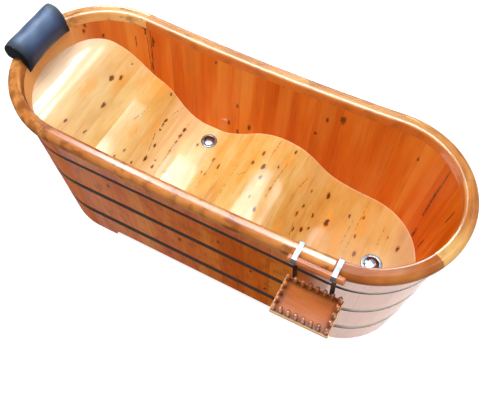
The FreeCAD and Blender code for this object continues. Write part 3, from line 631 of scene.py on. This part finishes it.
def worn_rim(f):
    """The rim is rubbed and stained darkest round the near side of the head end."""
    cloud = f.step(f.noise(f.place, 26.0, 4.0, 0.6), 0.42, 0.62)
    return [((1 - f.step(around(f), -1.2, 0.3)) * (cloud * 0.6 + 0.2), WARM["stain"])]


def near_sheen(f):
    return 0.05 + sheen_line(f) * (0.15 + f.step(f.x, -0.5, -0.15) * 0.8)


def far_sheen(f):
    return 0.15 + polish(f) * 0.75


def head_sheen(f):
    return 0.08 + f.step(around(f), -0.7, 0.5) * (0.4 + polish(f) * 0.52)


def foot_sheen(f):
    return 0.1 + f.step(around(f), -0.55, 0.2) * 0.2 + polish(f, 0.007) * 0.65


print("rim wear ready")

# %% Rim
for label, washes, coat, blotch in (("rim_near_rail", near_rail, near_sheen, 0.8),
                                    ("rim_far_rail", far_rail, far_sheen, 0.35)):
    nodes[label].data.materials[0] = wood(
        label + "_wood", rim_across, lambda f: f.x, lambda f: past_middle(f, f.y, lot=13),
        lambda f: (HALF_STRAIGHT - abs(f.x), RAIL_SEAM), TAN, pins=RIM_PINS, blotch=blotch,
        washes=washes, coat=coat)
for label, washes, coat, blotch in (("rim_head_end", worn_rim, head_sheen, 0.6),
                                    ("rim_foot_end", foot_rim, foot_sheen, 0.3)):
    nodes[label].data.materials[0] = wood(
        label + "_wood", rim_across, lambda f: around(f) * END_RADIUS,
        lambda f: math.floor(segment_count(f)) + past_middle(f, f.x, lot=29),
        lambda f: seams(f, segment_count(f), SEGMENT * END_RADIUS), TAN, pins=RIM_PINS, spread=0.6,
        blotch=blotch, washes=washes, coat=coat)
print("rim finished")

# %% [markdown]
# ## Lounging deck
# The deck is strips glued edge to edge, with their grain across the tub, and shaped into a wave for
# shoulders, seat and knees. A pattern laid flat on it would stretch on the slopes, so the strips are
# counted by the length walked along the wave. Rays dropped on the CAD deck measure that length, and
# a curve node then gives it for any place along the tub. Past the deck's ends the walk is level.

# %% Measure the deck
DECK_PARTS = ("recliner_backrest", "recliner_seat", "recliner_legs")
DECK_REACH = 0.752
DECK_STATIONS = 121
DECK_STRIPS = 29
CLEAR_OF_DRAINS = 0.06


def deck_height(x):
    """The deck's height at a place along the tub, or None past its ends."""
    start, down = Vector((x, CLEAR_OF_DRAINS, 1.0)), Vector((0.0, 0.0, -1.0))
    rays = (nodes[label].ray_cast(start, down) for label in DECK_PARTS)
    return max((place.z for hit, place, *_ in rays if hit), default=None)


stations = np.linspace(-DECK_REACH, DECK_REACH, DECK_STATIONS)
met = [(x, z) for x, z in ((x, deck_height(x)) for x in stations) if z is not None]
heights = np.interp(stations, *zip(*met))
walk = np.concatenate(([0.0], np.cumsum(np.hypot(np.diff(stations), np.diff(heights)))))
DECK_LENGTH = float(walk[-1])
STRIP = DECK_LENGTH / DECK_STRIPS
print("deck walk", round(DECK_LENGTH, 4), "m,", DECK_STRIPS, "strips of", round(STRIP, 4), "m")

# %% [markdown]
# The larger knots, the dark hair lines and the golden blushes are listed by the length walked and by
# the place across. They could be scattered by chance, as the pin knots are, but the eye knows a
# board by its knots.

# %% Marks on the deck
DECK_KNOT_SHARE = 0.8
DECK_KNOTS = [
    (0.235, 0.104, 0.015), (0.26, 0.132, 0.011), (0.274, 0.004, 0.013), (0.208, -0.142, 0.009),
    (0.282, -0.123, 0.007), (0.259, 0.209, 0.007), (0.445, 0.228, 0.007), (0.574, 0.161, 0.011),
    (0.574, 0.128, 0.009), (0.574, 0.096, 0.008), (0.574, 0.052, 0.007), (0.492, 0.134, 0.009),
    (0.494, 0.11, 0.007), (0.496, 0.085, 0.008), (0.515, 0.022, 0.009), (0.515, -0.044, 0.012),
    (0.555, -0.046, 0.009), (0.55, -0.02, 0.006), (0.431, -0.08, 0.008), (0.415, -0.124, 0.007),
    (0.481, -0.095, 0.007), (0.65, 0.136, 0.009), (0.744, 0.098, 0.01), (0.727, 0.031, 0.008),
    (0.747, 0.023, 0.006), (0.785, 0.066, 0.011), (0.948, 0.154, 0.012), (0.928, 0.102, 0.009),
    (0.974, 0.099, 0.013), (0.984, 0.054, 0.012), (1.022, 0.125, 0.008), (1.05, 0.215, 0.009),
    (1.035, 0.03, 0.007), (0.987, -0.035, 0.008), (1.024, -0.07, 0.011), (1.178, 0.128, 0.007),
    (1.243, 0.157, 0.014), (1.177, 0.056, 0.008), (1.167, 0.015, 0.011), (1.225, 0.05, 0.008),
    (1.282, 0.054, 0.017), (1.183, -0.041, 0.009), (1.212, -0.023, 0.011), (1.234, -0.002, 0.008),
    (1.345, 0.125, 0.008), (1.394, 0.145, 0.008), (1.394, 0.057, 0.008), (1.417, -0.004, 0.012),
    (1.5, 0.111, 0.006), (1.547, 0.082, 0.012)]
DECK_STREAKS = [
    (0.391, 0.034, 0.407, 0.122, 0.0016), (0.49, 0.08, 0.491, 0.14, 0.0026),
    (0.497, 0.034, 0.484, 0.07, 0.0018), (0.516, -0.045, 0.49, 0.055, 0.0014),
    (0.497, 0.168, 0.519, 0.232, 0.0014), (0.742, -0.056, 0.748, 0.092, 0.0015),
    (0.87, -0.1, 0.874, 0.109, 0.0015), (0.597, -0.044, 0.62, -0.011, 0.0018),
    (0.427, 0.0, 0.417, 0.018, 0.0018), (0.9, 0.033, 0.927, 0.06, 0.002),
    (0.922, 0.096, 0.932, 0.128, 0.0018), (0.978, 0.143, 0.983, 0.233, 0.0016),
    (1.032, -0.02, 1.045, 0.167, 0.0014), (1.125, 0.104, 1.139, 0.157, 0.0018),
    (1.184, -0.082, 1.166, 0.021, 0.0016), (1.382, -0.028, 1.387, 0.219, 0.0013),
    (1.36, 0.0, 1.364, 0.12, 0.0012), (1.477, 0.043, 1.476, 0.145, 0.0013),
    (0.574, -0.03, 0.574, 0.2, 0.0012)]
DECK_BLUSH = [
    (0.928, 0.119, 0.03), (0.918, 0.026, 0.03), (0.995, 0.19, 0.032), (1.136, 0.134, 0.026),
    (1.129, -0.09, 0.025), (1.164, 0.005, 0.02), (1.042, 0.165, 0.018), (0.376, 0.22, 0.03),
    (0.268, 0.122, 0.03), (0.41, 0.225, 0.025), (0.468, 0.062, 0.035), (0.42, 0.003, 0.018),
    (0.39, -0.109, 0.02), (0.196, 0.02, 0.03), (0.748, 0.143, 0.04), (0.686, -0.003, 0.03),
    (0.332, 0.202, 0.03), (0.847, 0.164, 0.04), (0.75, 0.02, 0.05), (0.85, 0.05, 0.04),
    (1.337, 0.018, 0.035), (1.4, 0.1, 0.04), (1.282, 0.054, 0.035)]
print(len(DECK_KNOTS), "knots,", len(DECK_STREAKS), "hair lines and", len(DECK_BLUSH), "blushes")

# %% Lounging deck
HONEY = [(0.1, tint(238, 216, 153)), (0.4, tint(229, 193, 114)), (0.65, tint(217, 165, 79)),
         (0.95, tint(190, 122, 50))]


def walked(f):
    """Length along the deck's wave, from its head end."""
    points = [((x + DECK_REACH) / (2 * DECK_REACH), s / DECK_LENGTH) for x, s in zip(stations, walk)]
    share = (f.x + DECK_REACH) / (2 * DECK_REACH)
    return f.node("FloatCurve", {"points": points}, {"Value": share}) * DECK_LENGTH


def deck_tones_and_glare(f):
    """Painted glare: paler head shelf, shoulder, seat and foot; golden legs; painted highlight on the
    edge.
    """
    shoulder = (1 - f.step(f.x, -0.62, -0.45)) * 0.35
    seat = f.step(f.x, -0.4, -0.3) * (1 - f.step(f.x, -0.2, -0.1)) * 0.4
    shelf = (1 - f.step(f.x, -0.67, -0.58)) * 0.6
    legs = f.step(f.x, 0.2, 0.35) * (1 - f.step(f.x, 0.5, 0.62)) * 0.5
    foot = f.step(f.x, 0.53, 0.66) * 0.6
    edge = (1 - f.step(from_wall(f), 0.0015, 0.005)) * 0.5
    return [(shoulder.atleast(seat), tint(252, 234, 190)), (shelf, tint(255, 238, 218)),
            (legs, tint(202, 142, 56)), (foot, tint(204, 178, 138)), (edge, WARM["pale"])]


deck_wood = wood("deck_wood", walked, lambda f: f.y, lambda f: math.floor(walked(f) / STRIP),
                 lambda f: seams(f, walked(f) / STRIP, STRIP), HONEY,
                 [(u, v, radius * DECK_KNOT_SHARE) for u, v, radius in DECK_KNOTS],
                 DECK_STREAKS, DECK_BLUSH, pins=(14.0, 0.004), spread=0.12, red_share=0.4,
                 seam_share=0.35, gloss=0.13, washes=deck_tones_and_glare, broken=1.0)
for label in DECK_PARTS:
    nodes[label].data.materials[0] = deck_wood
print("deck finished")

# %% [markdown]
# ## Under-frame and basket wood
# The base boards run along the tub, the battens and bearers are plain sawn stock, and the basket is
# turned and planed from offcuts of the same timber, browner with use. They all take the same wood
# with other directions. A single board has no seam to draw, and its number comes from its place.

# %% Under-frame wood
BASE_BOARD = 0.068


def board_number(place, in_a_metre, start):
    """A whole number that goes up with a place, so that neighbours differ."""
    return math.floor(place * in_a_metre + start)


def base_count(f):
    return f.y / BASE_BOARD + 0.5


nodes["base_boards"].data.materials[0] = wood(
    "base_boards_wood", lambda f: f.y, lambda f: f.x, lambda f: math.floor(base_count(f)) + 20,
    lambda f: seams(f, base_count(f), BASE_BOARD), AMBER, coat=0.3)
batten_wood = wood("batten_wood", lambda f: f.x + f.z, lambda f: f.y,
                   lambda f: board_number(f.x, 3, 9.5), None, AMBER, coat=0.2)
for label in ("batten_head", "batten_centre", "batten_foot"):
    nodes[label].data.materials[0] = batten_wood
nodes["recliner_bearers"].data.materials[0] = wood(
    "bearer_wood", lambda f: f.z, lambda f: f.x, lambda f: past_middle(f, f.y, lot=3),
    None, AMBER, coat=0.2)
print("under-frame finished")

# %% Basket wood
UMBER = [(0.1, tint(210, 130, 68)), (0.4, tint(186, 104, 46)), (0.65, tint(152, 76, 30)),
         (0.95, tint(100, 46, 16))]
tray_low, tray_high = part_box("basket_tray")


def tray_shade_and_edges(f):
    """Painted shade darkens the tray's face among the pegs, and its planed edges are pale."""
    side = (f.x - tray_low.x).upto(tray_high.x - f.x)
    side = side.upto(f.y - tray_low.y).upto(tray_high.y - f.y)
    return [((1 - f.step(side, 0.012, 0.03)) * 0.6, WARM["core"]),
            ((1 - f.step(side, 0.002, 0.004)) * 0.8, tint(236, 188, 128))]


def peg_foot_shade(f):
    """Painted shade darkens each peg where it stands in the tray."""
    return [((1 - f.step(f.z, tray_high.z, tray_high.z + 0.016)) * 0.6, WARM["core"])]


nodes["basket_tray"].data.materials[0] = wood(
    "basket_tray_wood", lambda f: f.y + f.z, lambda f: f.x, lambda f: board_number(f.y, 9, 7.2),
    None, UMBER, pins=(20.0, 0.006), coat=0.2, gloss=0.25, washes=tray_shade_and_edges)
nodes["basket_bar"].data.materials[0] = wood(
    "basket_bar_wood", lambda f: f.y + f.z, lambda f: f.x, lambda f: board_number(f.y, 9, 7.2),
    None, UMBER, pins=(20.0, 0.006), blotch=0.4, coat=0.35, gloss=0.1)
nodes["basket_pegs"].data.materials[0] = wood(
    "basket_peg_wood", lambda f: f.x + f.y, lambda f: f.z,
    lambda f: board_number(f.x, 30, 60.5) + board_number(f.y, 30, 60.5) * 7,
    None, UMBER, pins=(30.0, 0.003), spread=0.5, washes=peg_foot_shade)
print("basket finished")

# %% [markdown]
# ## Hoops
# The hoops are flat steel bands under black-brown paint, rubbed to metal along the edges. Round the
# foot end a painted pale glare stands for the mirrored floor, leaving the lower edge dark. Worn edges
# could come from the mesh's own curvature, but a band's edges lie at two known heights, so the
# distance to the nearer one is exact.


# %% Hoops
def band_steel(name, low, high):
    f = Finish(name)
    cloud = f.noise(f.place, 35.0, 4.0)
    grit = f.noise(f.place, 600.0, 2.0)
    edge = (f.z - low).upto(high - f.z)
    rubbed = (1 - f.step(edge, 0.0, 0.002)) * f.step(cloud, 0.45, 0.7)
    colour = f.mix(cloud, tint(24, 13, 6), tint(50, 30, 14))
    colour = f.mix(rubbed * 0.4, colour, tint(112, 88, 64))
    # Painted glare round the foot end, leaving the band's lower edge dark.
    painted_glare = f.step(f.x, 0.48, 0.6) * f.step(f.z - low, 0.007, 0.01)
    colour = f.mix(painted_glare * 0.92, colour, tint(226, 214, 206))
    return f.surface(base_color=colour, metallic=rubbed * 0.4, roughness=0.5 + cloud * 0.2,
                     specular_ior_level=0.04, normal=f.bump(grit, 0.0001))


for label in HOOPS:
    low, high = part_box(label)
    nodes[label].data.materials[0] = band_steel(label + "_steel", low.z, high.z)
print(len(HOOPS), "hoops finished")

# %% [markdown]
# ## Chrome, plastic and rubber
# Drains, hooks and screws are chrome plate, whose gloss changes a little with smears and scratches;
# on the strap hooks the scratches run along the strap. Nuts and tails under the deck are grey
# plastic, and the gaskets black rubber. Flat colours would do at this size, but a little noise on
# Object coordinates makes them real close up, and needs no unwrapping.


# %% Chrome, plastic and rubber
def chrome(name, stretch, dark, pale, rough):
    f = Finish(name)
    drawn = f.node("VectorMath", {"operation": "MULTIPLY"}, {0: f.place, 1: stretch})
    scratch = f.noise(drawn, 900.0, 3.0)
    smear = f.noise(f.place, 60.0, 3.0)
    return f.surface(base_color=f.mix(smear, dark, pale), metallic=1.0,
                     roughness=rough + f.step(smear, 0.4, 0.8) * 0.06 + scratch * 0.04)


drain_chrome = chrome("drain_chrome", (1, 1, 1), tint(96, 100, 107), tint(138, 142, 148), 0.1)
for label in ("seat_drain_body", "foot_drain_body", "seat_drain_plug", "foot_drain_plug"):
    nodes[label].data.materials[0] = drain_chrome
hook_chrome = chrome("hook_chrome", (1, 0.1, 0.1), tint(58, 61, 67), tint(88, 92, 99), 0.12)
for label in ("basket_hooks", "basket_screws"):
    nodes[label].data.materials[0] = hook_chrome


def moulded(name, pale, deep, rough, fine):
    f = Finish(name)
    cloud = f.noise(f.place, 45.0, 4.0)
    grain = f.noise(f.place, fine, 2.0)
    return f.surface(base_color=f.mix(cloud, pale, deep), roughness=rough + grain * 0.15,
                     normal=f.bump(grain, 0.0001))


plastic = moulded("drain_plastic", tint(196, 198, 200), tint(172, 175, 178), 0.35, 1500.0)
rubber = moulded("gasket_rubber", tint(26, 26, 27), tint(40, 40, 42), 0.6, 2500.0)
for name in ("seat", "foot"):
    for label in ("_drain_nut", "_drain_tail"):
        nodes[name + label].data.materials[0] = plastic
    nodes[name + "_drain_gasket"].data.materials[0] = rubber
print("chrome, plastic and rubber finished")

# %% [markdown]
# ## Headrest cushion
# The headrest is soft foam in a tight skin, bent over the rim like a saddle, with a sewn cap on each
# end. It could be sculpted, but a skin under pressure finds its own roundings. It starts as a copy
# of its CAD solid, remeshed into small even faces, which cloth needs, and drawn in a little.

# %% Headrest cushion
PAD_VOXEL = 0.0045
PAD_DRAW_IN = 0.0025

bpy.ops.object.select_all(action="DESELECT")
cushion = bpy.data.objects.new("headrest_cushion", nodes["headrest_pad"].data.copy())
bpy.context.collection.objects.link(cushion)
bpy.context.view_layer.objects.active = cushion
cushion.select_set(True)
bpy.ops.mesh.customdata_custom_splitnormals_clear()
bpy.ops.object.mode_set(mode="EDIT")
bpy.ops.mesh.select_all(action="SELECT")
bpy.ops.mesh.remove_doubles(threshold=0.00001)
bpy.ops.object.mode_set(mode="OBJECT")
cushion.data.remesh_voxel_size = PAD_VOXEL
bpy.ops.object.voxel_remesh()
bpy.ops.object.mode_set(mode="EDIT")
bpy.ops.mesh.select_all(action="SELECT")
bpy.ops.transform.shrink_fatten(value=-PAD_DRAW_IN)
bpy.ops.object.mode_set(mode="OBJECT")
print("cushion starts with", len(cushion.data.vertices), "points")

# %% [markdown]
# A short cloth run with air pressure blows the skin back up. Left alone it would swell like a ball,
# so no point may move further than a cap, and the side that lies on the rim nearly keeps its
# place. Two smoothing steps then take the remesh's small stairs away.

# %% Blow the cushion up
PAD_PRESSURE = 4.0
PAD_SWELL, PAD_REST_SWELL = 0.005, 0.0015
PAD_LOOKS_DOWN = -0.2
PAD_FRAMES = 20
PAD_EVENING, PAD_EVEN_SHARE = 14, 0.5


def points_of(mesh, what):
    flat = np.empty(len(mesh.vertices) * 3, dtype=np.float32)
    mesh.vertices.foreach_get(what, flat)
    return flat.reshape(-1, 3)


start, facing = points_of(cushion.data, "co"), points_of(cushion.data, "normal")
skin = cushion.modifiers.new("skin", "CLOTH")
skin.settings.use_pressure = True
skin.settings.uniform_pressure_force = PAD_PRESSURE
skin.settings.effector_weights.gravity = 0.0
skin.point_cache.frame_end = PAD_FRAMES
for step in range(1, PAD_FRAMES + 1):
    bpy.context.scene.frame_set(step)
bpy.ops.object.modifier_apply(modifier="skin")
bpy.context.scene.frame_set(1)
moved = points_of(cushion.data, "co") - start
far = np.linalg.norm(moved, axis=1)
cap = np.where(facing[:, 2] < PAD_LOOKS_DOWN, PAD_REST_SWELL, PAD_SWELL)
kept = start + moved * np.minimum(1.0, cap / np.maximum(far, 1e-9))[:, None]
cushion.data.vertices.foreach_set("co", kept.astype(np.float32).ravel())
print("cushion swelled by up to", round(float(far.max()) * 1000, 2), "mm before the cap")
even = cushion.modifiers.new("even", "SMOOTH")
even.factor, even.iterations = PAD_EVEN_SHARE, PAD_EVENING
bpy.ops.object.modifier_apply(modifier="even")
smooth = cushion.modifiers.new("smooth", "SUBSURF")
smooth.levels = 1
bpy.ops.object.modifier_apply(modifier="smooth")
bpy.ops.object.shade_smooth()
print("cushion evened and smoothed to", len(cushion.data.vertices), "points")

# %% [markdown]
# The skin is blue-black leather cloth: a fine pebble grain, broad soft gloss, and a seam with its
# row of stitches a little in from each end. Towards the ends and along the lower lip the colour is
# darkened with painted shade, and the ends are duller. The end caps are a matt black cloth. Stitches
# could be meshes, but at this size a raised dash in the bump is enough.

# %% Headrest skin
PAD_SEAM = 0.1065
STITCH = 0.004
CAP_TURN = 0.55


def pad_leather():
    f = Finish("headrest_leather")
    pebble = f.node("TexVoronoi", {"feature": "SMOOTH_F1"},
                    {"Vector": f.place, "Scale": 700.0}, "Distance")
    cloud = f.noise(f.place, 30.0, 3.0)
    crease = f.noise(f.place, 240.0, 4.0)
    off = abs(abs(f.y) - PAD_SEAM)
    groove = 1 - f.step(off, 0.0004, 0.0014)
    run = (f.x + f.z) / STITCH
    dash = f.step(abs(run - math.floor(run) - 0.5), 0.1, 0.2)
    stitch = (1 - f.step(off, 0.0003, 0.0008)) * dash
    colour = f.mix(cloud, tint(44, 58, 88), tint(58, 74, 108))
    colour = f.mix(f.step(crease, 0.55, 0.8) * 0.2, colour, tint(72, 88, 122))
    # Painted shade: darker towards the ends and along the lower lip.
    ends = f.step(abs(f.y), 0.056, 0.1) * 0.94
    under = (1 - f.step(f.z, 0.63, 0.7)) * 0.9
    colour = f.mix(strongest((ends, under, groove * 0.6)), colour, tint(10, 13, 22))
    colour = f.mix(stitch * 0.6, colour, tint(88, 98, 120))
    dulled = f.step(abs(f.y), 0.07, 0.1) * 0.35
    return f.surface(base_color=colour, roughness=0.34 + pebble * 0.1 + crease * 0.1 + dulled,
                     normal=f.bump(pebble * 0.5 + crease * 0.5 - groove * 3 + stitch * 2, 0.0002),
                     specular_ior_level=0.32, specular_tint=(0.7, 0.86, 1.0, 1.0))


def pad_cap():
    f = Finish("headrest_end_cap")
    weave = f.noise(f.place, 900.0, 2.0)
    cloud = f.noise(f.place, 40.0, 3.0)
    return f.surface(base_color=f.mix(cloud, tint(7, 8, 10), tint(17, 19, 23)),
                     roughness=0.7 + weave * 0.2, normal=f.bump(weave, 0.0002),
                     specular_ior_level=0.08)


cushion.data.materials.clear()
cushion.data.materials.append(pad_leather())
cushion.data.materials.append(pad_cap())
for face in cushion.data.polygons:
    face.material_index = int(abs(face.normal.y) > CAP_TURN)
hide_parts("headrest_pad")
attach(cushion, "headrest")
print("headrest cushion has", len(cushion.data.polygons), "faces")

# %% [markdown]
# ## Studio
# The tub stands in plain soft light on a nearly white floor. For the camera and for mirror-like
# reflections a part of the floor's white is its own glow, so the picture's ground stays pale, and
# the rest is lit, so the tub keeps its shadow. A world picture could light it all, but lamps can be
# placed one by one.

# %% Floor and sky
FLOOR_SIZE = 14.0
FLOOR_DROP = 0.001
GLOW = 0.8
SKY = 0.3


def seen_rays(f):
    """1 for what the camera sees, directly, mirrored or through something."""
    camera, mirror, through = (f.node("LightPath", output="Is %s Ray" % name)
                               for name in ("Camera", "Glossy", "Transmission"))
    return camera.atleast(mirror).atleast(through)


bpy.ops.object.select_all(action="DESELECT")
bpy.ops.mesh.primitive_plane_add(size=FLOOR_SIZE, location=(0, 0, -FLOOR_DROP))
floor = bpy.context.object
floor.name = "studio_floor"
ground = Finish("studio_floor_paint")
ground.surface(base_color=(0.4, 0.4, 0.4, 1.0), roughness=0.9, emission_strength=GLOW,
               emission_color=ground.mix(seen_rays(ground), (0, 0, 0, 1), (1, 1, 1, 1)))
floor.data.materials.append(ground.material)

world = bpy.data.worlds.new("studio_world")
bpy.context.scene.world = world
sky = Finish("studio_sky", world)
sky.surface(color=(1, 1, 1, 1), strength=SKY + seen_rays(sky) * (1 - SKY))
print("floor and sky ready")

# %% [markdown]
# Three flat lamps light the wood: one over the near side, a weak one in front and one beside the
# foot end. The bright bands on the lacquer are reflections, and lamps strong enough to show as
# white there would bleach the wood. So oval lamps that show only in gloss hang high up, each at the
# place that one part of the tub mirrors to the camera: the deck's waves, the rails, the round ends.

# %% Lamps
GLARE = (0.84, 0.92, 1.0)
OVAL_SHARE = math.pi / 4
GLOSS_HEIGHT = 6.0


def soft_lamp(name, place, aim, size, radiance, gloss_only=False):
    """A flat lamp at a place, facing a point, given by its size and brightness."""
    bpy.ops.object.select_all(action="DESELECT")
    bpy.ops.object.light_add(type="AREA", location=place)
    lamp = bpy.context.object
    lamp.name = name
    lamp.data.shape = "ELLIPSE" if gloss_only else "RECTANGLE"
    lamp.data.size, lamp.data.size_y = size
    area = size[0] * size[1] * (OVAL_SHARE if gloss_only else 1.0)
    lamp.data.energy = radiance * math.pi * area
    back = Vector(place) - Vector(aim)
    lamp.rotation_euler = back.to_track_quat("Z", "Y").to_euler()
    lamp.visible_camera = False
    lamp.visible_diffuse = not gloss_only
    if gloss_only:
        lamp.data.color = GLARE


soft_lamp("top_lamp", (-0.35, -0.45, 3.2), (-0.35, -0.45, 0.0), (2.6, 1.3), 8.2)
soft_lamp("front_lamp", (-1.3, -3.6, 2.6), (0.0, 0.0, 0.4), (3.0, 2.2), 1.0)
soft_lamp("foot_lamp", (3.5, -0.6, 0.55), (0.7, -0.2, 0.35), (1.6, 1.0), 7.2)
for name, x, y, size, radiance in (("bright_bands_lamp", 2.75, 1.85, (2.5, 1.8), 18.0),
                                   ("shoulder_band_lamp", 0.55, 1.5, (1.9, 1.1), 26.0),
                                   ("pale_bands_lamp", -2.0, 3.0, (4.4, 1.6), 9.0),
                                   ("foot_band_lamp", 2.5, 3.7, (2.2, 1.4), 6.0),
                                   ("foot_glint_lamp", -1.6, 4.2, (3.6, 0.6), 24.0),
                                   ("far_glint_lamp", -1.3, -0.9, (4.8, 4.0), 18.0),
                                   ("near_line_lamp", -1.3, 2.3, (4.6, 1.0), 24.0)):
    soft_lamp(name, (x, y, GLOSS_HEIGHT), (x, y, 0.0), size, radiance, gloss_only=True)
soft_lamp("near_glint_lamp", (-2.5, 5.0, 3.8), (-2.5, 0.0, 3.8), (5.2, 4.8), 24.0, gloss_only=True)
bpy.context.scene.view_settings.view_transform = "Standard"
